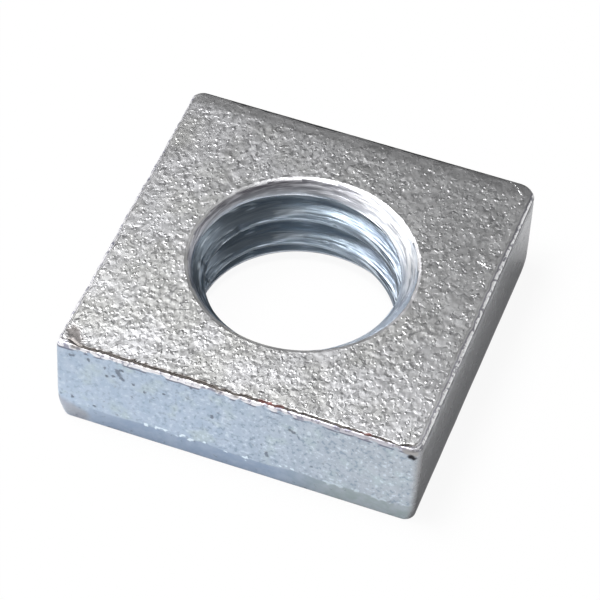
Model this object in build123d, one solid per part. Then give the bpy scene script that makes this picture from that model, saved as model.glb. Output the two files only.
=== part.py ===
from build123d import *
from build123d.topology import SkipClean
import math
import os

# A thin square nut, stamped from flat bar and tapped M8, in millimetres.
# The origin is the centre of the seating face. +Z points up along the thread
# axis and the four flats face +X, -X, +Y and -Y.

# Driving dimensions of the blank
width_across_flats = 13.0
thickness = 3.85
corner_radius = 0.35
top_edge_radius = 0.2

# Driving dimensions of the rolled-over edge, which the die leaves round the seating face
roll_height = 0.85
roll_inset = 0.15
seat_corner_radius = 0.55

# Driving dimensions of the thread, which is right-handed and of the coarse series
thread_diameter = 8.0
thread_pitch = 1.25
flank_angle = 30.0
thread_start_angle = -41.0

# The countersink at each mouth reaches this far past the thread's roots
countersink_margin = 0.02
countersink_half_angle = 45.0

# How far a cutting shape reaches past the metal that it cuts
cutter_reach = 0.1

# The basic metric profile has a root flat of an eighth of the pitch and a crest flat of a quarter
root_flat = thread_pitch / 8
crest_flat = thread_pitch / 4
flank_run = (thread_pitch - root_flat - crest_flat) / 2
flank_slope = math.tan(math.radians(flank_angle))
major_radius = thread_diameter / 2
minor_radius = major_radius - flank_run / flank_slope
mouth_radius = major_radius + countersink_margin

on_base = (Align.CENTER, Align.CENTER, Align.MIN)
on_corner = (Align.NONE, Align.NONE, Align.MIN)


def outline(inset, radius):
    """The square outline, drawn in from the flats by the inset, with rounded corners."""
    side = width_across_flats - 2 * inset
    return RectangleRounded(side, side, radius)


def blank():
    """The stamped slug: a rolled foot, upright flats and a softened upper edge."""
    full_outline = Pos(0, 0, roll_height) * outline(0, corner_radius)
    foot = loft([outline(roll_inset, seat_corner_radius), full_outline])
    slab = extrude(full_outline, thickness - roll_height)
    body = foot + slab
    top_edges = body.faces().sort_by(Axis.Z)[-1].edges()
    return fillet(top_edges, top_edge_radius)


def bore():
    """The hole at the thread's crests, in quarters, so that no crest face runs all the way round."""
    quarter = Cylinder(minor_radius, thickness + 2 * cutter_reach, arc_size=90, align=on_corner)
    return [Pos(0, 0, -cutter_reach) * turn * quarter for turn in PolarLocations(0, 4)]


def groove_section():
    """The trapezoid between two crests, carried inwards past the wall of the bore."""
    inner_radius = minor_radius - cutter_reach
    inner_half_width = root_flat / 2 + (major_radius - inner_radius) * flank_slope
    corners = Polyline(
        (inner_radius, -inner_half_width),
        (major_radius, -root_flat / 2),
        (major_radius, root_flat / 2),
        (inner_radius, inner_half_width),
        close=True,
    )
    return Plane.XZ * make_face(corners)


def thread_groove():
    """The helical groove, one full turn at a time, from a pitch below to a pitch above."""
    path = Helix(pitch=thread_pitch, height=thread_pitch, radius=minor_radius)
    one_turn = Rot(0, 0, thread_start_angle) * sweep(groove_section(), path=path, is_frenet=True)
    turns = math.ceil(thickness / thread_pitch) + 2
    return [Pos(0, 0, (turn - 1) * thread_pitch) * one_turn for turn in range(turns)]


def countersinks():
    """One cone at each mouth of the hole, wide enough for the groove to run out in."""
    slope = math.tan(math.radians(countersink_half_angle))
    depth = mouth_radius / slope
    wide_radius = mouth_radius + cutter_reach * slope
    cone = Cone(0, wide_radius, depth + cutter_reach, align=on_base)
    upper = Pos(0, 0, thickness - depth) * cone
    lower = mirror(upper, Plane.XY.offset(thickness / 2))
    return [upper, lower]


def square_nut():
    """The tapped nut. Its faces are left as cut, so that the crests stay in quarters."""
    body = blank()
    with SkipClean():
        return body - bore() - thread_groove() - countersinks()


os.makedirs("parts", exist_ok=True)
export_step(square_nut(), "parts/square_nut.step")
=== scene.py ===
import itertools
import math

import bpy
import numpy as np
from mathutils import Matrix, Vector


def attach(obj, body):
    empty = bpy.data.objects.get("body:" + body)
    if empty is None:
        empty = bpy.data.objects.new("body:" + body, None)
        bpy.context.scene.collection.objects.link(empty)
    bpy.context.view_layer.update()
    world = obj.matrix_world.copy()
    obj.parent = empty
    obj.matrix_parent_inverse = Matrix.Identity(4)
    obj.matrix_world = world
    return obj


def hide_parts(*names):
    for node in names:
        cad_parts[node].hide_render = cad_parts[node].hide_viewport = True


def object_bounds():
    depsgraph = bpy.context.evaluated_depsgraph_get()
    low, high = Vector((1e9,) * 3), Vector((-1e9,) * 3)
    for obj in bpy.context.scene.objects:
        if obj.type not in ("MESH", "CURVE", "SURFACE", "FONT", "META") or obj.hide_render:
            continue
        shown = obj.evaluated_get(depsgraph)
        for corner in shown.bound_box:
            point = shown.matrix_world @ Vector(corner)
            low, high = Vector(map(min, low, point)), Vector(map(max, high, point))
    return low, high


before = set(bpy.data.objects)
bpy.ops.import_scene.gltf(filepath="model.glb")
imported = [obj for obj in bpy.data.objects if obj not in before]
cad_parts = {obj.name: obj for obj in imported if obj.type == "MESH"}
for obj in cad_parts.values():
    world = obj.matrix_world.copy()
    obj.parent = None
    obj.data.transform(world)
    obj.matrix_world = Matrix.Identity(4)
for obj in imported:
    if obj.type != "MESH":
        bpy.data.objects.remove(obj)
cad_low, cad_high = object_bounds()

# Shapes are worked out in millimetres and turned into metres when the mesh is made
mm = 0.001

# Sizes from the frame
half_width = (cad_high.x - cad_low.x) / 2 / mm
thickness = (cad_high.z - cad_low.z) / mm

# The thread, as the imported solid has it
major_radius = 4.0
minor_radius = 3.3234
thread_pitch = 1.25
thread_start = -41 / 360
mouth_radius = 4.02
flank_slope = math.tan(math.radians(30))
root_half_width = thread_pitch / 16
crest_half_width = thread_pitch / 8

# Roundings where the surfaces of the hole's wall meet, and how far the tools' marks stand out on it
root_rounding = 0.05
crest_rounding = 0.2
cone_rounding = 0.01
mouth_rounding = 0.08
broad_tap_mark = 0.012
fine_tap_mark = 0.008
tear_depth = 0.06
turning_mark = 0.008

# How many faces go round a corner and along half a side, and how many follow one pitch of the thread
corner_columns = 14
half_side_columns = 68
columns = 4 * (corner_columns + 2 * half_side_columns)
root_rows = 2
flank_rows = 6
crest_rows = 5

# A point of the wall that lies closer to a rim than this becomes a point of the rim
rim_snap = 0.012

# Corner radii at the upper face and at the seat, anticlockwise from the back right corner
upper_corner_radii = (0.6, 0.4, 0.18, 0.3)
seat_corner_radii = (0.7, 0.6, 0.38, 0.38)
corner_roll_height = 1.35
corner_roll_power = 1.3

# The rolled foot
foot_height = 0.85
foot_inset = 0.09
foot_roundness = 1.6
foot_waver = 0.07
foot_rows = 8
seat_edge_radius = 0.05
seat_edge_bends = (30, 60, 90)

# The upper edge is a rolled lip, with the crease that the die leaves inside it
lip_inset = 0.11
lip_drop = 0.24
lip_bends = (0, 22, 40, 56, 72, 90)
lip_bead = 0.02
crease_inset = 0.16
crease_waver = 0.03
crease_depth = 0.035
crease_half_width = 0.07
crease_strengths = {"front": 1.0, "right": 0.1, "left": 0.15}
notch_drop = 0.3
notch_depth = 0.02

# The level part of the upper face ends at this inset, and closer rings go on across the crease to the lip
level_inset = 0.34
crease_ring_insets = (0.3, 0.265, 0.235, 0.21, 0.19, 0.17, 0.15, 0.13)
level_rows = 34
rim_rows = 3
rim_share = 0.95
seat_rows = 10

# Rings on the flats: close under the lip, and then evenly down to the foot
under_lip_drops = (0.04, 0.08, 0.13)
even_rows_drop = 0.2
even_rows = 15

# Lumps of the faces and flats, and how gradually one flat gives way to the next at a corner
broad_lump = 0.004
fine_lump = 0.006
corner_blend = 0.3

# Room inside the solid's box for the roughness of the flats and of the upper face
skin = 0.012
face_drop = 0.03


# Noise

noise_cells = 64
noise_table = np.random.default_rng(11).uniform(-1, 1, (noise_cells,) * 3)


def noise(points, width):
    """Smooth noise from -1 to 1 at each point, with lumps about as wide as the given width."""
    scaled = np.asarray(points) / width
    cell = np.floor(scaled).astype(int)
    part = scaled - cell
    blend = part * part * (3 - 2 * part)
    total = 0.0
    for corner in itertools.product((0, 1), repeat=3):
        index = (cell + corner) % noise_cells
        weight = np.prod(np.where(corner, blend, 1 - blend), axis=-1)
        total = total + weight * noise_table[index[..., 0], index[..., 1], index[..., 2]]
    return total


def ramp(value, low, high):
    """0 at low, 1 at high and smooth between them."""
    part = np.clip((value - low) / (high - low), 0, 1)
    return part * part * (3 - 2 * part)


def hump(value, centre, reach):
    """1 at the centre, falling smoothly to 0 at the given reach on either side."""
    return 1 - ramp(np.abs(value - centre), 0, reach)


def stack(*parts):
    """One array of points from its coordinates."""
    return np.stack(np.broadcast_arrays(*parts), axis=-1)


# The tapped hole


def soft_max(first, second, rounding):
    """The larger of two values, with the corner where they cross rounded off."""
    return (first + second + np.sqrt((first - second) ** 2 + rounding**2)) / 2


def groove_distance(turn, height):
    """Distance along the axis from the middle of the nearest thread groove, at these turns from +X."""
    phase = (height / thread_pitch - turn + thread_start + 0.5) % 1 - 0.5
    return np.abs(phase) * thread_pitch


def wall_radius(turn, height):
    """Radius of the hole's wall: crests, grooves and the two countersinks, with the tap's marks."""
    angle = 2 * math.pi * turn
    along = groove_distance(turn, height)
    flank = major_radius - (along - root_half_width) / flank_slope
    groove = -soft_max(-flank, -major_radius, root_rounding)
    thread = soft_max(groove, minor_radius, crest_rounding)
    swept = stack(np.cos(angle), np.sin(angle), along / 0.15)
    broad = broad_tap_mark * noise(swept * (2.2, 2.2, 1), 1.0)
    fine = fine_tap_mark * noise(swept * (5, 5, 1.8), 1.0)
    round_hole = stack(3.5 * np.cos(angle), 3.5 * np.sin(angle), height)
    tears = ramp(noise(round_hole * (1, 1, 2.5), 0.45), 0.45, 0.9) * ramp(along, 0.3, 0.5)
    thread = thread + broad + fine + tear_depth * tears
    turning = turning_mark * noise(stack(1.5 * np.cos(angle), 1.5 * np.sin(angle), height / 0.13), 1.0)
    upper_cone = mouth_radius - (thickness - height) + turning
    lower_cone = mouth_radius - height + turning
    return soft_max(thread, soft_max(upper_cone, lower_cone, cone_rounding), mouth_rounding)


def thread_rows():
    """Where the rows of faces lie across one pitch, as shares of the pitch from the middle of a groove."""
    root_edge = root_half_width / thread_pitch
    crest_edge = 0.5 - crest_half_width / thread_pitch
    root = np.linspace(-root_edge, root_edge, root_rows, endpoint=False)
    rising = np.linspace(root_edge, crest_edge, flank_rows, endpoint=False)
    crest = np.linspace(crest_edge, 1 - crest_edge, crest_rows, endpoint=False)
    falling = np.linspace(1 - crest_edge, 1 - root_edge, flank_rows, endpoint=False)
    return np.concatenate((root, rising, crest, falling))


def hole_wall(upper_rim, lower_rim, first_index):
    """Rows that climb with the thread, cut off at both mouths. Gives the new points and the faces."""
    pitch_rows = thread_rows()
    turns = np.arange(columns + 1) / columns
    pitches = np.arange(-2, math.ceil(thickness / thread_pitch) + 2)
    shares = (pitches[:, None] + pitch_rows[None, :]).ravel()
    heights = thread_pitch * (shares[:, None] + turns[None, :] - thread_start)
    above = heights > thickness - face_drop - rim_snap
    below = heights < rim_snap
    inside = ~above & ~below
    inside[:, -1] = False
    index = np.where(above, np.append(upper_rim, upper_rim[0]), np.append(lower_rim, lower_rim[0]))
    index[inside] = first_index + np.arange(inside.sum())
    joined = index[len(pitch_rows):, 0]
    index[: len(joined), -1] = joined
    turned = np.broadcast_to(turns, heights.shape)[inside]
    radius = wall_radius(turned, heights[inside])
    angle = 2 * math.pi * turned
    points = stack(radius * np.cos(angle), radius * np.sin(angle), heights[inside])
    faces = []
    for row, column in itertools.product(range(len(index) - 1), range(columns)):
        corners = (
            index[row, column],
            index[row + 1, column],
            index[row + 1, column + 1],
            index[row, column + 1],
        )
        corners = list(dict.fromkeys(corners))
        if len(corners) > 2:
            faces.append(corners)
    return points, faces


# The body round the hole


def outline(inset, radii):
    """A square drawn in from the flats, with its own radius at each corner, from the middle of +X."""
    half = half_width - inset
    whole = []
    for quarter, radius in enumerate(radii):
        straight = np.arange(half_side_columns) / half_side_columns * (half - radius)
        bend = np.arange(corner_columns) / corner_columns * math.pi / 2
        rising = stack(half, straight)
        corner = half - radius + radius * stack(np.cos(bend), np.sin(bend))
        falling = stack(half - radius - straight, half)
        local = np.concatenate((rising, corner, falling))
        turn = quarter * math.pi / 2
        spin = np.array(((math.cos(turn), math.sin(turn)), (-math.sin(turn), math.cos(turn))))
        whole.append(local @ spin)
    return np.concatenate(whole)


def corner_radii(height):
    """The four corner radii at this height. They grow towards the seat."""
    share = max(0.0, 1 - height / corner_roll_height) ** corner_roll_power
    return [upper + (seat - upper) * share for upper, seat in zip(upper_corner_radii, seat_corner_radii)]


def circle(radius):
    """A circle with as many points as the outline."""
    angle = 2 * math.pi * np.arange(columns) / columns
    return radius * stack(np.cos(angle), np.sin(angle))


def ring(inset, height):
    """A level ring of points round the body."""
    points = outline(inset, corner_radii(height))
    return stack(points[:, 0], points[:, 1], height)


def level_rings(outer, height, shares):
    """Rings of a level face from an outer ring of points towards the hole's rim."""
    rim = circle(mouth_radius - face_drop if height > 0 else mouth_radius)
    rings = []
    for share in shares:
        points = outer[:, :2] + share * (rim - outer[:, :2])
        rings.append(stack(points[:, 0], points[:, 1], height))
    return rings


def upper_rings():
    """The upper face, from the hole's rim outwards."""
    top = thickness - face_drop
    near_rim = np.linspace(1, rim_share, rim_rows, endpoint=False)
    beyond = np.linspace(rim_share, 0, level_rows)
    return level_rings(ring(level_inset, top), top, np.concatenate((near_rim, beyond)))


def edge_rings():
    """The margin of the upper face and the lip, which the die has rolled up a little."""
    rings = [ring(inset + skin, thickness - face_drop) for inset in crease_ring_insets]
    for bend in np.radians(lip_bends):
        inset = skin + lip_inset * (1 - math.sin(bend))
        rings.append(ring(inset, thickness - skin - lip_drop * (1 - math.cos(bend))))
    return rings


def side_rings():
    """The flats, from under the lip to just above the foot."""
    high = thickness - skin - lip_drop
    under_lip = [high - drop for drop in under_lip_drops]
    even = np.linspace(high - even_rows_drop, foot_height, even_rows, endpoint=False)
    return [ring(skin, height) for height in (*under_lip, *even)]


def foot_rings():
    """The rolled foot, which leans in to the seat, and its small lower edge."""
    rings = []
    for share in np.linspace(0, 1, foot_rows):
        inset = skin + foot_inset * share**foot_roundness
        rings.append(ring(inset, foot_height + share * (seat_edge_radius - foot_height)))
    for bend in np.radians(seat_edge_bends):
        inset = skin + foot_inset + seat_edge_radius * (1 - math.cos(bend))
        rings.append(ring(inset, seat_edge_radius * (1 - math.sin(bend))))
    return rings


def grid_normals(grid):
    """Outward normals of a closed band of rings."""
    along = np.roll(grid, -1, axis=1) - np.roll(grid, 1, axis=1)
    across = np.gradient(grid, axis=0)
    normals = np.cross(across, along)
    return normals / np.linalg.norm(normals, axis=-1, keepdims=True)


def facing(grid):
    """How much each point belongs to the front, right, back and left flats, from 0 to 1."""
    x, y = grid[..., 0], grid[..., 1]
    ahead = {
        "front": -y - np.abs(x),
        "right": x - np.abs(y),
        "back": y - np.abs(x),
        "left": -x - np.abs(y),
    }
    return {side: ramp(lead, -corner_blend, corner_blend) for side, lead in ahead.items()}


def inward(grid):
    """How far in from the nearest flat each point lies."""
    return half_width - np.maximum(np.abs(grid[..., 0]), np.abs(grid[..., 1]))


def along_side(grid):
    """Where each point lies along its own flat."""
    x, y = grid[..., 0], grid[..., 1]
    return np.where(np.abs(x) > np.abs(y), y, x)


def crease_place(grid):
    """How far in from the flats the crease runs, beside each point."""
    along = along_side(grid)
    waver = crease_waver * (noise(stack(along, 0.0, 1.7), 0.6) + noise(stack(along, 0.0, 8.1), 0.17))
    at_left, at_right = ramp(along, -5.6, -6.4), ramp(along, 5.7, 6.3)
    sides = facing(grid)
    at_ends = sides["front"] * (0.3 * at_left + 0.15 * at_right)
    return crease_inset + 0.05 * sides["right"] + at_ends + waver


def crease_strength(grid):
    """How deep the crease is on each side. The back has none."""
    sides = facing(grid)
    return sum(strength * sides[side] for side, strength in crease_strengths.items())


def foot_line(grid):
    """Height of the foot's upper boundary, which wavers along each flat."""
    along = along_side(grid)
    return foot_height + foot_waver * noise(stack(along, 4.4, 0.0), 1.1)


def relief(grid, normals):
    """How far the rolled and sheared surfaces stand out from or below the plain shape."""
    depth = inward(grid)
    height = grid[..., 2]
    sides = facing(grid)
    upper = ramp(normals[..., 2], 0.5, 0.9)
    lower = ramp(-normals[..., 2], 0.5, 0.9)
    lumps = broad_lump * noise(grid, 0.5) + fine_lump * noise(grid + 9, 0.22)
    grain = lumps * np.maximum(upper, lower) * ramp(depth, 0.1, 0.25)
    along_crease = hump(depth, crease_place(grid), crease_half_width)
    crease = -crease_depth * along_crease * crease_strength(grid) * upper
    on_lip = ramp(height, thickness - 0.4, thickness - 0.25) * ramp(depth, 0.15, 0.1)
    bead_height = lip_bead * (1 - 0.7 * sides["right"] - 0.9 * sides["back"])
    beads = bead_height * noise(stack(along_side(grid), height, 3.3), 0.22) * on_lip
    lip_top = ramp(height, thickness - face_drop + 0.002, thickness - skin - 0.002)
    sunk = -(face_drop - skin) * lip_top * (sides["right"] + sides["back"])
    notch = -notch_depth * hump(height, thickness - notch_drop, 0.1) * ramp(depth, 0.1, 0.05)
    flats = broad_lump * noise(grid, 0.9) * (1 - upper)
    return grain + crease + beads + sunk + notch + flats


def body_grid():
    """The rings of the body with their relief."""
    upper = upper_rings() + edge_rings() + side_rings() + foot_rings()
    grid = np.array(upper + level_rings(upper[-1], 0.0, np.linspace(0, 1, seat_rows + 1)[1:]))
    waver = (foot_line(grid) - foot_height) * hump(grid[..., 2], foot_height, foot_height * 0.9)
    grid[..., 2] += waver * (inward(grid) < 2 * foot_inset)
    normals = grid_normals(grid)
    moving = np.ones((len(grid), 1))
    moving[0] = moving[-1] = 0
    grid = grid + normals * (relief(grid, normals) * moving)[..., None]
    grid[..., :2] = np.clip(grid[..., :2], -half_width, half_width)
    grid[..., 2] = np.clip(grid[..., 2], 0, thickness)
    return grid


def body_faces(ring_count):
    """Quads between each ring and the next."""
    faces = []
    for row, column in itertools.product(range(ring_count - 1), range(columns)):
        here, below = row * columns, (row + 1) * columns
        after = (column + 1) % columns
        faces.append((here + column, below + column, below + after, here + after))
    return faces


# What each point of the mesh carries: shares of the finishes and flats, two lengths, and two for the hole
finish_names = ("level", "rolled", "sheared", "front", "right", "back")
mask_names = (*finish_names, "rise", "margin", "hole", "cone")


def body_masks(grid):
    """Which finish each point of the body has, as shares, and its place in millimetres beside the marks."""
    sides = facing(grid)
    slope = grid_normals(grid)[..., 2]
    level = ramp(slope, 0.3, 0.8)
    under = ramp(-slope, 0.5, 0.9)
    flat = (1 - level) * (1 - under)
    return {
        "level": np.maximum(level, under),
        "rolled": flat * (sides["front"] + sides["left"]),
        "sheared": flat * (sides["right"] + sides["back"]),
        "front": sides["front"],
        "right": sides["right"],
        "back": sides["back"],
        "rise": grid[..., 2] - foot_line(grid),
        "margin": inward(grid) - crease_place(grid),
        "hole": np.zeros_like(slope),
        "cone": np.zeros_like(slope),
    }


def wall_masks(points):
    """The same for the hole's wall, with how far each point lies behind the countersinks' cones."""
    radius = np.hypot(points[:, 0], points[:, 1])
    depth = np.minimum(thickness - points[:, 2], points[:, 2])
    masks = {name: np.zeros(len(points)) for name in finish_names}
    ones = np.ones(len(points))
    return masks | {"rise": ones, "margin": ones, "hole": ones, "cone": radius - (mouth_radius - depth)}


def make_nut():
    """One closed mesh: the body's rings and the threaded wall share the two rims."""
    grid = body_grid()
    body_points = grid.reshape(-1, 3)
    upper_rim = np.arange(columns)
    lower_rim = (len(grid) - 1) * columns + np.arange(columns)
    wall_points, wall_faces = hole_wall(upper_rim, lower_rim, len(body_points))
    points = np.concatenate((body_points, wall_points)) * mm
    mesh = bpy.data.meshes.new("nut")
    mesh.from_pydata(points.tolist(), [], body_faces(len(grid)) + wall_faces)
    mesh.validate()
    mesh.polygons.foreach_set("use_smooth", [True] * len(mesh.polygons))
    on_wall = wall_masks(wall_points)
    for name, share in body_masks(grid).items():
        attribute = mesh.attributes.new(name, "FLOAT", "POINT")
        attribute.data.foreach_set("value", np.append(share.ravel(), on_wall[name]).astype(np.float32))
    return bpy.data.objects.new("nut", mesh)


nut = make_nut()
bpy.context.scene.collection.objects.link(nut)
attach(nut, "root")
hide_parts("square_nut")


# Material

# Single pits, dents and scratches, as ends in millimetres and a half width
front_y = -half_width
dents = (
    ((-4.25, front_y, 3.28), (-4.15, front_y, 3.05), 0.085),
    ((-4.15, front_y, 3.05), (-4.03, front_y, 2.88), 0.07),
    ((-4.2, front_y, 3.3), (-4.05, front_y, 3.36), 0.05),
    ((-5.93, front_y, 3.36), (-5.82, front_y, 3.4), 0.06),
    ((-5.3, front_y, 3.42), (-5.26, front_y, 3.36), 0.05),
    ((1.95, front_y, 2.98), (2.1, front_y, 2.9), 0.07),
    ((-0.82, front_y, 2.45), (-0.8, front_y, 2.38), 0.06),
    ((1.15, front_y, 1.4), (1.2, front_y, 1.25), 0.06),
)
scratches = (
    ((5.47, 6.38, thickness), (5.76, 6.23, thickness), 0.03),
    ((5.76, 6.23, thickness), (6.03, 5.93, thickness), 0.035),
    ((5.62, 2.33, thickness), (6.08, 2.2, thickness), 0.05),
)
pit_spots = (
    (-4.69, 3.22),
    (-4.62, 2.83),
    (-4.37, 2.94),
    (-3.65, 2.82),
    (-3.24, 2.61),
    (-2.56, 2.81),
    (-5.08, 1.05),
    (-5.89, 1.21),
    (-1.6, 3.55),
)
stain = ((-6.1, -5.8, thickness), (-5.78, -6.28, thickness), 0.25)
black_pit = ((6.17, front_y, 3.5), (6.3, front_y, 3.45), 0.11)
worn_corner = ((6.0, front_y, 3.7), (6.42, front_y, 3.66), 0.13)
dull_corner = ((-6.4, front_y, 0.6), (-5.7, front_y, 0.3), 0.4)
rust_bits = (
    ((0.8, -6.34, thickness), (1.6, -6.34, thickness), 0.08),
    ((4.4, -6.34, thickness), (4.7, -6.34, thickness), 0.08),
)

# Colours of the upper face and of the marks on it. Noise mixes the two of a pair, the darker one first.
face_greys = ((0.58, 0.58, 0.572), (0.67, 0.67, 0.685))
# Painted shade: the upper face turns greyer towards the back right
far_shade_grey = (0.55, 0.55, 0.555)
back_margin_grey = (0.40, 0.40, 0.405)
# The grain's gaps are dark, partly painted shade in its hollows
gap_shade_grey = (0.26, 0.26, 0.27)
# A painted highlight: a light ring round the far side of the hole's rim
burr_grey = (0.78, 0.77, 0.79)
pit_blue = (0.13, 0.15, 0.19)
worn_grey = (0.40, 0.39, 0.39)
pit_black = (0.03, 0.03, 0.035)
scratch_white = (0.95, 0.95, 0.96)
stain_brown = (0.19, 0.175, 0.17)

# Colours of the flats and the rolled foot
side_blues = ((0.41, 0.505, 0.63), (0.495, 0.58, 0.70))
side_greys = ((0.41, 0.46, 0.52), (0.50, 0.55, 0.61))
side_patch = (0.49, 0.58, 0.62)
dark_mottle = (0.25, 0.32, 0.41)
pale_mottle = (0.68, 0.76, 0.85)
foot_blues = ((0.31, 0.39, 0.52), (0.38, 0.46, 0.58))
foot_greys = ((0.34, 0.40, 0.42), (0.43, 0.48, 0.53))
foot_glint = (0.82, 0.92, 1.0)
dull_grey = (0.34, 0.34, 0.38)
# The sheared flats' dark grey is partly their smoother finish and partly painted shade
sheared_shade_greys = ((0.20, 0.205, 0.22), (0.26, 0.265, 0.28))

# Colours of the lip and the crease. The lip's whites and its dashes on the right are painted highlight, and
# its near black at the back is painted shade.
lip_highlight_whites = ((0.42, 0.42, 0.50), (0.95, 0.94, 0.97))
lip_dull_highlight_lavenders = ((0.36, 0.35, 0.42), (0.64, 0.63, 0.68))
right_lip_grey = (0.30, 0.30, 0.33)
right_lip_line = (0.11, 0.11, 0.12)
right_lip_highlight_dash = (0.97, 0.97, 0.98)
back_lip_shade_grey = (0.08, 0.08, 0.085)
lip_shadow = (0.17, 0.18, 0.24)
# Painted shade in the crease along the upper edge, with rust in two places
crease_shade_black = (0.10, 0.09, 0.085)
rust_brown = (0.17, 0.08, 0.075)

# Colours in the hole
# Painted shade and light: the wall is darker at the left and right and lighter in the middle
left_wall_shade_blue = (0.21, 0.25, 0.29)
middle_wall_lit_blue = (0.46, 0.55, 0.64)
right_wall_shade_blue = (0.28, 0.33, 0.40)
# Pale streaks along the tap marks, partly painted highlight, and dark scores, partly painted shade
streak_highlight_blue = (0.76, 0.85, 0.94)
score_shade_blue = (0.12, 0.145, 0.18)
sink_purples = ((0.19, 0.18, 0.205), (0.66, 0.65, 0.69))
# The right of the countersink is paler, as painted light
right_sink_lit_greys = ((0.27, 0.27, 0.30), (0.93, 0.93, 0.92))
# A painted highlight: the bright line where the countersink meets the thread
joint_highlight_blue = (0.86, 0.91, 0.98)


def add(tree, kind, inputs=None, **settings):
    """A new node with these settings and inputs. An input may be a value or another node's output."""
    made = tree.nodes.new(kind)
    for name, value in settings.items():
        setattr(made, name, value)
    for name, value in (inputs or {}).items():
        if isinstance(value, bpy.types.NodeSocket):
            tree.links.new(value, made.inputs[name])
        else:
            made.inputs[name].default_value = value
    return made


class Graph:
    """Short names for the nodes that a material is made of. Each call gives the new node's output."""

    def __init__(self, tree):
        self.tree = tree

    def math(self, operation, *values):
        """One math node."""
        return add(self.tree, "ShaderNodeMath", dict(enumerate(values)), operation=operation).outputs[0]

    def vector(self, operation, *values):
        """One vector node that gives a vector."""
        inputs = dict(enumerate(values))
        return add(self.tree, "ShaderNodeVectorMath", inputs, operation=operation).outputs[0]

    def measure(self, operation, *values):
        """One vector node that gives a number."""
        inputs = dict(enumerate(values))
        return add(self.tree, "ShaderNodeVectorMath", inputs, operation=operation).outputs["Value"]

    def times(self, *values):
        """The product of two or more values."""
        return self.folded("MULTIPLY", values)

    def plus(self, *values):
        """The sum of two or more values."""
        return self.folded("ADD", values)

    def most(self, *values):
        """The largest of two or more values."""
        return self.folded("MAXIMUM", values)

    def folded(self, operation, values):
        """One operation carried through a row of values."""
        result = values[0]
        for value in values[1:]:
            result = self.math(operation, result, value)
        return result

    def mask(self, name):
        """A share stored on the mesh's points."""
        return add(self.tree, "ShaderNodeAttribute", attribute_name=name).outputs["Fac"]

    def split(self, vector):
        """The three coordinates of a vector."""
        return add(self.tree, "ShaderNodeSeparateXYZ", {0: vector}).outputs

    def joined(self, x, y, z):
        """A vector from its three coordinates."""
        return add(self.tree, "ShaderNodeCombineXYZ", {0: x, 1: y, 2: z}).outputs[0]

    def noise(self, place, width, detail=2.0, roughness=0.5, distortion=0.0):
        """Noise from 0 to 1 whose lumps are about as wide as the given number of millimetres."""
        inputs = {
            "Vector": place,
            "Scale": 1 / (width * mm),
            "Detail": detail,
            "Roughness": roughness,
            "Distortion": distortion,
        }
        return add(self.tree, "ShaderNodeTexNoise", inputs).outputs["Fac"]

    def sway(self, place, width, reach):
        """Noise about 0, from half the reach below to half the reach above."""
        return self.times(self.plus(self.noise(place, width, 1.0), -0.5), reach)

    def step(self, value, low, high, bottom=0.0, top=1.0):
        """A smooth step from bottom to top as the value goes from low to high."""
        inputs = {"Value": value, "From Min": low, "From Max": high, "To Min": bottom, "To Max": top}
        made = add(self.tree, "ShaderNodeMapRange", inputs, interpolation_type="SMOOTHSTEP")
        return made.outputs["Result"]

    def fade(self, value, low, high):
        """A smooth step down from 1 to 0 as the value goes from low to high."""
        return self.step(value, low, high, 1.0, 0.0)

    def hump(self, value, centre, reach):
        """1 round the centre, falling smoothly to 0 at the given reach on either side."""
        apart = self.math("ABSOLUTE", self.plus(value, -centre))
        return self.fade(apart, 0.4 * reach, reach)

    def outside(self, share, amount):
        """1 where the share is 0, and less by this amount where it is 1."""
        return self.plus(self.times(share, -amount), 1.0)

    def mix(self, share, first, second):
        """A mix of two colours."""
        node = add(self.tree, "ShaderNodeMix", data_type="RGBA")
        for index, value in ((0, share), (6, first), (7, second)):
            if isinstance(value, bpy.types.NodeSocket):
                self.tree.links.new(value, node.inputs[index])
            else:
                node.inputs[index].default_value = value if index == 0 else (*value, 1)
        return node.outputs[2]

    def paint(self, colour, *coats):
        """The colour under a row of coats, each given as its share and its own colour."""
        for share, coat in coats:
            colour = self.mix(share, colour, coat)
        return colour

    def dots(self, place, spacing, low, high):
        """Small round dots, one in each cell of this many millimetres at the most."""
        inputs = {"Vector": place, "Scale": 1 / (spacing * mm)}
        distance = add(self.tree, "ShaderNodeTexVoronoi", inputs).outputs["Distance"]
        return self.fade(distance, low, high)

    def stroke(self, place, start, end, half_width):
        """1 within half a width of the line between two points, given in millimetres."""
        start, end = Vector(start) * mm, Vector(end) * mm
        line = end - start
        offset = self.vector("SUBTRACT", place, start)
        share = self.times(self.measure("DOT_PRODUCT", offset, line), 1 / line.length_squared)
        nearest = self.vector("SCALE", line)
        clamped = self.math("MINIMUM", self.math("MAXIMUM", share, 0.0), 1.0)
        self.tree.links.new(clamped, nearest.node.inputs["Scale"])
        distance = self.measure("DISTANCE", offset, nearest)
        return self.fade(distance, 0.5 * half_width * mm, 1.4 * half_width * mm)


# Settings of the noise on coordinates that are drawn out beforehand
drawn_noise = {"Scale": 1.0, "Detail": 2.0, "Roughness": 0.6}


def thread_streaks(graph, place, lines):
    """Noise drawn out along the thread, in lines that follow the helix. More lines lie closer together."""
    x, y, z = graph.split(place)
    risen = graph.times(z, 2 * math.pi / (thread_pitch * mm))
    climb = graph.math("SUBTRACT", risen, graph.math("ARCTAN2", y, x))
    across, beside = graph.math("COSINE", climb), graph.math("SINE", climb)
    around = 1 / (1.5 * mm)
    vector = graph.joined(graph.times(x, around), graph.times(y, around), graph.times(across, lines))
    inputs = {"Vector": vector, "W": graph.times(beside, lines), **drawn_noise}
    return add(graph.tree, "ShaderNodeTexNoise", inputs, noise_dimensions="4D").outputs["Fac"]


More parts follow.
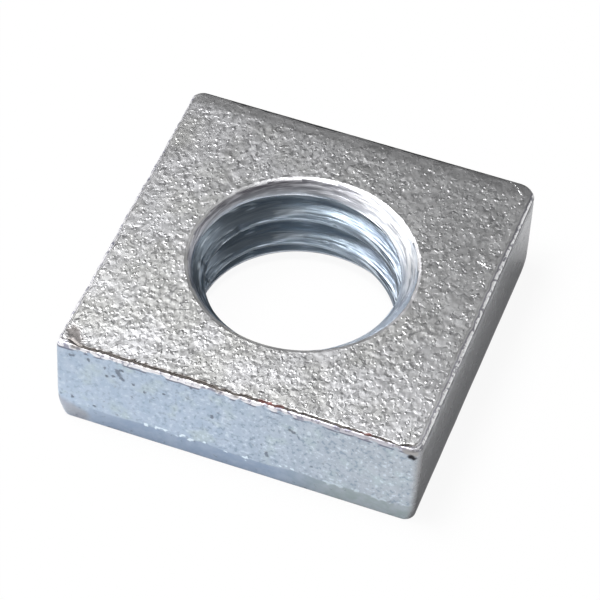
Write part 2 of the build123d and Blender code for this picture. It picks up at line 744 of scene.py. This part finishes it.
def axis_distance(graph, place):
    """How far the place is from the thread's axis, in millimetres."""
    x, y, _ = graph.split(place)
    return graph.times(graph.math("SQRT", graph.plus(graph.times(x, x), graph.times(y, y))), 1 / mm)


def turned_rings(graph, place):
    """Noise drawn out into rings round the axis, as a countersink leaves them."""
    x, y, _ = graph.split(place)
    around = 1 / (1.0 * mm)
    outward = graph.times(axis_distance(graph, place), 1 / 0.07)
    vector = graph.joined(graph.times(x, around), graph.times(y, around), outward)
    return add(graph.tree, "ShaderNodeTexNoise", {"Vector": vector, **drawn_noise}).outputs["Fac"]


def shifted(graph, place, reach):
    """The place moved about by fine noise, so that marks have ragged edges."""
    inputs = {"Vector": place, "Scale": 1 / (0.1 * mm), "Detail": 1.0}
    wander = add(graph.tree, "ShaderNodeTexNoise", inputs).outputs["Color"]
    centred = graph.vector("SUBTRACT", wander, (0.5, 0.5, 0.5))
    moved = graph.vector("MULTIPLY", centred, (reach * mm,) * 3)
    return graph.vector("ADD", place, moved)


def granular_marks(graph, place):
    """The rolled skin of the bar, drawn out along Y: its height, and the share of dark gaps in it."""
    rolled = graph.vector("MULTIPLY", place, (1.0, 0.75, 1.0))
    ragged = shifted(graph, rolled, 0.1)
    grains = graph.noise(rolled, 0.21, 1.0, 0.4, 0.2)
    specks = graph.noise(rolled, 0.14, 0.0)
    gaps = graph.step(graph.noise(rolled, 0.19, 1.0, 0.5, 0.2), 0.46, 0.34)
    pimples = graph.dots(ragged, 0.25, 0.1, 0.3)
    clustered = graph.step(graph.noise(place, 0.7, 1.0), 0.36, 0.52, 0.3, 1.0)
    fine = graph.dots(ragged, 0.17, 0.08, 0.32)
    calm = graph.step(graph.noise(place, 2.2, 1.0), 0.34, 0.54, 0.65, 1.0)
    skin_height = graph.plus(graph.times(grains, 2.9), graph.times(specks, 0.6), graph.times(gaps, -0.5))
    height = graph.plus(
        graph.times(skin_height, calm),
        graph.times(pimples, clustered, 1.5),
        graph.times(fine, 0.8),
    )
    return height, graph.times(gaps, calm)


def front_marks(graph, ragged, masks):
    """Pits and dents of the rolled side, as one share."""
    scattered = graph.step(graph.noise(ragged, 0.26, 1.0, 0.6), 0.66, 0.76)
    centres = [Vector((x, front_y, z)) * mm for x, z in pit_spots]
    distances = [graph.measure("DISTANCE", ragged, centre) for centre in centres]
    spots = [graph.fade(distance, 0.03 * mm, 0.085 * mm) for distance in distances]
    cuts = [graph.stroke(ragged, *dent) for dent in dents]
    return graph.most(graph.times(scattered, masks["rolled"], 0.55), *spots, *cuts)


def finish_masks(graph, place):
    """The shares that the mesh carries, and those that follow from them and from the place."""
    masks = {name: graph.mask(name) for name in mask_names}
    x, y, z = graph.split(place)
    radius = axis_distance(graph, place)
    masks["in_sink"] = graph.times(masks["hole"], graph.step(masks["cone"], 0.04, 0.015))
    masks["in_thread"] = graph.times(masks["hole"], graph.step(masks["cone"], 0.015, 0.04))
    wavering = graph.plus(z, graph.sway(place, 0.4, 0.35 * mm))
    high = graph.step(wavering, (thickness - 0.19) * mm, (thickness - 0.15) * mm)
    masks["on_lip"] = graph.times(graph.step(masks["margin"], 0.0, -0.04), high)
    # The light ring round the far side of the rim is a painted highlight
    far_side = graph.step(graph.plus(x, y), -0.5 * mm, 2.5 * mm)
    masks["burr"] = graph.times(graph.hump(radius, mouth_radius + 0.02, 0.06), masks["level"], far_side)
    ragged_y = graph.plus(y, graph.sway(place, 0.5, 0.8 * mm))
    masks["back_margin"] = graph.step(ragged_y, 5.75 * mm, 6.15 * mm)
    masks["stained"] = graph.stroke(shifted(graph, place, 0.3), *stain)
    masks["open_skin"] = graph.times(
        masks["level"],
        graph.outside(masks["back_margin"], 0.6),
        graph.step(masks["margin"], 0.0, 0.06),
        graph.step(radius, mouth_radius, mouth_radius + 0.08),
        graph.outside(masks["stained"], 0.7),
    )
    return masks


def tool_marks(graph, place, masks):
    """What rolling, shearing, turning, tapping and handling left on the metal."""
    ragged = shifted(graph, place, 0.12)
    granular, gaps = granular_marks(graph, place)
    return {
        "granular": granular,
        "gaps": gaps,
        "smears": graph.noise(place, 0.5, 3.0, 0.6),
        "rings": turned_rings(graph, place),
        "streaks": thread_streaks(graph, place, 1.5),
        "scores": thread_streaks(graph, place, 3.5),
        "pits": front_marks(graph, ragged, masks),
        "scratched": graph.most(*[graph.stroke(ragged, *scratch) for scratch in scratches]),
        "worn": graph.stroke(ragged, *worn_corner),
        "black": graph.stroke(ragged, *black_pit),
    }


def side_colours(graph, place, masks, smears):
    """The blue tint of the rolled sides, greyer towards the right, and the darker rolled foot."""
    x, _, _ = graph.split(place)
    smeared = graph.step(smears, 0.3, 0.7)
    rightward = graph.step(x, -2 * mm, 6 * mm)
    side = graph.mix(rightward, graph.mix(smeared, *side_blues), graph.mix(smeared, *side_greys))
    patches = graph.step(graph.noise(place, 0.8, 2.0), 0.5, 0.72, 0.0, 0.8)
    mottle = graph.noise(place, 0.17, 2.0, 0.6)
    amount = graph.step(x, -5 * mm, 1 * mm, 0.4, 0.7)
    below_smeared = graph.step(smears, 0.35, 0.7)
    foot = graph.mix(
        graph.step(x, 1 * mm, 4 * mm),
        graph.mix(below_smeared, *foot_blues),
        graph.mix(below_smeared, *foot_greys),
    )
    below = graph.times(
        graph.step(masks["rise"], 0.03, -0.03),
        graph.step(x, -5.8 * mm, -4.6 * mm, 0.2, 1.0),
    )
    along_foot = graph.hump(graph.plus(masks["rise"], graph.sway(place, 0.25, 0.5)), 0.04, 0.11)
    reach = graph.times(graph.step(x, -4.9 * mm, -4.4 * mm), graph.step(x, 1.5 * mm, 4 * mm, 1.0, 0.35))
    broken = graph.step(graph.noise(place, 0.3, 1.0), 0.54, 0.62)
    return graph.paint(
        side,
        (patches, side_patch),
        (graph.times(graph.step(mottle, 0.46, 0.34), amount), dark_mottle),
        (graph.times(graph.step(mottle, 0.56, 0.68), amount), pale_mottle),
        (below, foot),
        (graph.times(graph.stroke(place, *dull_corner), 0.7), dull_grey),
        (graph.times(along_foot, broken, masks["front"], reach), foot_glint),
    )


def edge_colours(graph, place, masks, colour):
    """The lip's broken white line and the dashes on its right, as painted highlight, the painted shadow
    under it, and the lip's dark at the back and the dark crease inside it, as painted shade.
    """
    x, _, z = graph.split(place)
    height = graph.times(z, 1 / mm)
    beads = graph.step(graph.noise(place, 0.2, 2.0, 0.6, 0.4), 0.38, 0.5)
    front_right = graph.times(graph.step(x, 0.5 * mm, 3.5 * mm), masks["front"])
    outer = graph.step(masks["margin"], -0.06, -0.09)
    dashes = graph.times(graph.hump(height, thickness - 0.05, 0.06), outer, beads)
    right_lip = graph.mix(graph.hump(height, thickness - 0.15, 0.07), right_lip_grey, right_lip_line)
    # The lip's white line, duller and lavender towards the right, and its dashes are painted highlight; its
    # dark at the back is painted shade
    lip = graph.paint(
        graph.mix(beads, *lip_highlight_whites),
        (front_right, graph.mix(beads, *lip_dull_highlight_lavenders)),
        (masks["right"], graph.mix(dashes, right_lip, right_lip_highlight_dash)),
        (masks["back"], back_lip_shade_grey),
    )
    broken = graph.step(graph.noise(place, 0.4, 1.0), 0.42, 0.55)
    under = graph.times(graph.hump(height, thickness - 0.23, 0.06), masks["rolled"], broken)
    ragged = graph.plus(masks["margin"], graph.sway(place, 0.16, 0.16))
    narrowed = graph.times(ragged, graph.step(x, -1 * mm, 4.5 * mm, 0.8, 1.6))
    strength = graph.plus(masks["front"], graph.times(masks["right"], crease_strengths["right"]))
    # The crease is darkened as painted shade
    crease = graph.times(graph.hump(narrowed, 0.0, 0.11), strength, masks["level"])
    rusty = graph.most(*[graph.stroke(place, *bit) for bit in rust_bits])
    return graph.paint(
        colour,
        (masks["on_lip"], lip),
        (graph.times(under, 0.9), lip_shadow),
        (crease, graph.mix(rusty, crease_shade_black, rust_brown)),
    )


def hole_colours(graph, place, masks, marks):
    """Dark blue in the thread, darker at the left and right and lighter in the middle as painted shade and
    light, with pale streaks that are partly painted highlight and dark scores, stronger on the right, that
    are partly painted shade. Purplish in the countersinks, paler on the right as painted light, and the
    bright line between them, a painted highlight.
    """
    x, _, _ = graph.split(place)
    scored = graph.times(
        graph.step(marks["scores"], 0.54, 0.46),
        graph.step(x, 0.3 * mm, 2 * mm, 0.35, 1.0),
    )
    # The wall's tones by position are painted shade and light, its streaks partly painted highlight, and
    # its scores, stronger on the right, partly painted shade
    wall = graph.paint(
        left_wall_shade_blue,
        (graph.step(x, -2.6 * mm, -0.8 * mm), middle_wall_lit_blue),
        (graph.step(x, 0.2 * mm, 1.6 * mm), right_wall_shade_blue),
        (graph.step(marks["streaks"], 0.52, 0.66), streak_highlight_blue),
        (scored, score_shade_blue),
    )
    # The countersink paler on the right, as painted light
    sink = graph.mix(
        graph.step(x, 0.3 * mm, 2.6 * mm),
        graph.mix(graph.step(marks["rings"], 0.4, 0.62), *sink_purples),
        graph.mix(graph.step(marks["rings"], 0.4, 0.56), *right_sink_lit_greys),
    )
    return graph.paint(
        wall,
        (graph.step(masks["cone"], 0.03, 0.012), sink),
        # The bright line at the joint is a painted highlight
        (graph.hump(masks["cone"], 0.045, 0.05), joint_highlight_blue),
    )


def zinc_colour(graph, place, masks, marks):
    """Grey above and below, blue on the rolled flats, plain dark grey on the sheared ones, whose darkness
    is partly painted shade, and the marks over all.
    """
    x, y, _ = graph.split(place)
    faces = graph.paint(
        graph.mix(graph.step(graph.noise(place, 1.6, 2.0), 0.35, 0.65), *face_greys),
        # The upper face greyer towards the back right, as painted shade
        (graph.step(graph.plus(x, y), -1 * mm, 8 * mm), far_shade_grey),
        (masks["back_margin"], back_margin_grey),
        # The grain's gaps darkened, partly as painted shade in its hollows
        (graph.times(marks["gaps"], masks["open_skin"], 0.62), gap_shade_grey),
        (masks["burr"], burr_grey),
        (masks["rolled"], side_colours(graph, place, masks, marks["smears"])),
        # The sheared flats' darkness is partly painted shade
        (masks["sheared"], graph.mix(graph.step(marks["smears"], 0.3, 0.7), *sheared_shade_greys)),
        (graph.times(marks["pits"], 0.75), pit_blue),
    )
    return graph.paint(
        edge_colours(graph, place, masks, faces),
        (marks["worn"], worn_grey),
        (marks["black"], pit_black),
        (marks["scratched"], scratch_white),
        (graph.times(masks["stained"], 0.9), stain_brown),
        (masks["hole"], hole_colours(graph, place, masks, marks)),
    )


def zinc_height(graph, place, masks, marks):
    """Height of the marks that are too fine for the mesh, in hundredths of a millimetre."""
    satin = graph.plus(graph.times(marks["smears"], 1.8), graph.times(graph.noise(place, 0.16, 1.0), 1.2))
    return graph.plus(
        graph.times(marks["granular"], masks["open_skin"]),
        graph.times(satin, masks["rolled"]),
        graph.times(marks["smears"], masks["sheared"], 0.5),
        graph.times(marks["rings"], masks["in_sink"], 1.9),
        graph.times(marks["streaks"], masks["in_thread"], 2.4),
        graph.times(marks["scores"], masks["in_thread"], 3.4),
        graph.times(marks["pits"], -1.6),
        graph.times(marks["scratched"], 2.0),
    )


def zinc_roughness(graph, masks, marks):
    """Smoothest on the sheared flats and roughest on the upper face."""
    return graph.plus(
        graph.step(marks["smears"], 0.3, 0.7, 0.21, 0.29),
        graph.times(graph.most(masks["level"], masks["on_lip"]), 0.2),
        graph.times(masks["rolled"], 0.07),
        graph.times(masks["in_sink"], 0.08),
        graph.times(masks["in_thread"], 0.08),
    )


def zinc():
    """Bright zinc plate: granular on the faces, satin on the rolled flats, smooth on the sheared ones."""
    material = bpy.data.materials.new("zinc_plate")
    material.use_nodes = True
    tree = material.node_tree
    graph = Graph(tree)
    shader = tree.nodes["Principled BSDF"]
    place = add(tree, "ShaderNodeTexCoord").outputs["Object"]
    masks = finish_masks(graph, place)
    marks = tool_marks(graph, place, masks)
    height = zinc_height(graph, place, masks, marks)
    bump = add(tree, "ShaderNodeBump", {"Height": height, "Distance": 0.01 * mm, "Strength": 1.0})
    tree.links.new(zinc_colour(graph, place, masks, marks), shader.inputs["Base Color"])
    tree.links.new(zinc_roughness(graph, masks, marks), shader.inputs["Roughness"])
    tree.links.new(bump.outputs["Normal"], shader.inputs["Normal"])
    shader.inputs["Metallic"].default_value = 1.0
    return material


nut.data.materials.append(zinc())


# Floor and light

# The painted shadow round the nut lies a little to the right and behind it, in millimetres
shadow_shift = (0.6, 0.4)

# How far the floor reaches on every side of the nut and how far it lies below it, in metres
floor_reach = 1.5
floor_gap = 0.00001


def floor_glow(graph, place):
    """How white the floor looks to the camera and in the metal. Close to the nut the glow is less, a
    painted shadow that is faint to the camera and deep in the metal, where the floor under the hole is dark
    too as painted shade.
    """
    path = add(graph.tree, "ShaderNodeLightPath").outputs
    x, y, _ = graph.split(place)
    reach = graph.most(
        graph.math("ABSOLUTE", graph.plus(x, -shadow_shift[0] * mm)),
        graph.math("ABSOLUTE", graph.plus(y, -shadow_shift[1] * mm)),
    )
    in_hole = graph.fade(graph.measure("LENGTH", place), 3.5 * mm, 5.0 * mm)
    seen = graph.most(graph.times(in_hole, 0.97), graph.step(reach, 6.0 * mm, 8.2 * mm, 0.92, 0.995))
    mirrored = graph.most(graph.times(in_hole, 0.12), graph.step(reach, 6.4 * mm, 9.5 * mm, 0.1, 0.88))
    shiny = graph.most(path["Is Glossy Ray"], path["Is Transmission Ray"])
    return graph.most(graph.times(path["Is Camera Ray"], seen), graph.times(shiny, mirrored))


def floor_material():
    """A plain pale floor that is white where its light goes to the camera or to the metal."""
    material = bpy.data.materials.new("floor")
    material.use_nodes = True
    tree = material.node_tree
    graph = Graph(tree)
    shader = tree.nodes["Principled BSDF"]
    shader.inputs["Base Color"].default_value = (0.9, 0.9, 0.9, 1)
    shader.inputs["Roughness"].default_value = 0.9
    shader.inputs["Specular IOR Level"].default_value = 0.0
    share = floor_glow(graph, add(tree, "ShaderNodeTexCoord").outputs["Object"])
    glow = add(tree, "ShaderNodeEmission", {"Color": (1, 1, 1, 1), "Strength": 1.0})
    mixed = add(tree, "ShaderNodeMixShader", {0: share, 1: shader.outputs[0], 2: glow.outputs[0]})
    tree.links.new(mixed.outputs[0], tree.nodes["Material Output"].inputs["Surface"])
    return material


def make_floor():
    """A wide level sheet just under the seat."""
    corners = [(x * floor_reach, y * floor_reach, 0) for x, y in ((-1, -1), (1, -1), (1, 1), (-1, 1))]
    mesh = bpy.data.meshes.new("floor")
    mesh.from_pydata(corners, [], [(0, 1, 2, 3)])
    mesh.materials.append(floor_material())
    sheet = bpy.data.objects.new("floor", mesh)
    sheet.location.z = -floor_gap
    bpy.context.scene.collection.objects.link(sheet)


def make_world():
    """A dim tent, brighter low down on the right. It is white to the camera, and low down in the metal."""
    brightest = Vector((0.8, -0.55, 0.1)).normalized()
    world = bpy.data.worlds.new("studio")
    bpy.context.scene.world = world
    world.use_nodes = True
    graph = Graph(world.node_tree)
    heading = add(world.node_tree, "ShaderNodeTexCoord").outputs["Generated"]
    level = graph.step(graph.measure("DOT_PRODUCT", heading, brightest), -0.2, 1.0, 0.1, 0.35)
    path = add(world.node_tree, "ShaderNodeLightPath").outputs
    shiny = graph.most(path["Is Glossy Ray"], path["Is Transmission Ray"])
    low = graph.step(graph.split(heading)[2], 0.22, 0.06)
    background = world.node_tree.nodes["Background"]
    strength = graph.most(level, path["Is Camera Ray"], graph.times(shiny, low))
    world.node_tree.links.new(strength, background.inputs["Strength"])
    background.inputs["Color"].default_value = (0.98, 0.985, 1.0, 1)


def toward(azimuth, elevation):
    """The direction at these angles in degrees. Azimuth 0 is in front and 90 on the right."""
    around, above = math.radians(azimuth), math.radians(elevation)
    outward = math.cos(above)
    return Vector((math.sin(around) * outward, -math.cos(around) * outward, math.sin(above)))


def softbox(name, azimuth, elevation, distance, size, strength):
    """A lamp that looks at the nut, with its place in degrees and metres and its size in metres."""
    data = bpy.data.lights.new(name, "AREA")
    data.shape = "RECTANGLE"
    data.size, data.size_y = size
    data.energy = strength * math.pi**2 * size[0] * size[1]
    lamp = bpy.data.objects.new(name, data)
    bpy.context.scene.collection.objects.link(lamp)
    back = toward(azimuth, elevation)
    lamp.location = back * distance
    lamp.rotation_mode = "QUATERNION"
    lamp.rotation_quaternion = back.to_track_quat("Z", "Y")
    lamp.visible_camera = False


make_floor()
make_world()
softbox("key", azimuth=-82, elevation=68.5, distance=0.077, size=(0.05, 0.05), strength=2.8)
softbox("left", azimuth=-78, elevation=22, distance=0.13, size=(0.13, 0.06), strength=0.5)
softbox("fill", azimuth=-35, elevation=28, distance=0.3, size=(0.25, 0.15), strength=0.3)
softbox("back", azimuth=139, elevation=34, distance=0.15, size=(0.05, 0.05), strength=0.7)


# The camera stands at the photo's angle

camera_azimuth = 17.806
camera_elevation = 48.379
camera_roll = 3.199
camera_distance = 113.863 * mm
camera_focus = 3272.47
image_width = 600
camera_target = Vector((0.006, -0.115, 2.0)) * mm


def make_camera():
    """The camera, turned about its own line of sight by the photo's roll."""
    back = toward(camera_azimuth, camera_elevation)
    level = Vector((0, 0, 1)).cross(back).normalized()
    upright = back.cross(level)
    roll = math.radians(camera_roll)
    right = level * math.cos(roll) + upright * math.sin(roll)
    up = upright * math.cos(roll) - level * math.sin(roll)
    data = bpy.data.cameras.new("camera")
    data.sensor_width = 36
    data.lens = camera_focus / image_width * data.sensor_width
    data.clip_start = 0.01
    data.clip_end = 10
    camera = bpy.data.objects.new("camera", data)
    bpy.context.scene.collection.objects.link(camera)
    turned = Matrix((right, up, back)).transposed().to_4x4()
    camera.matrix_world = Matrix.Translation(camera_target + back * camera_distance) @ turned
    bpy.context.scene.camera = camera


make_camera()
bpy.context.scene.view_settings.view_transform = "Standard"
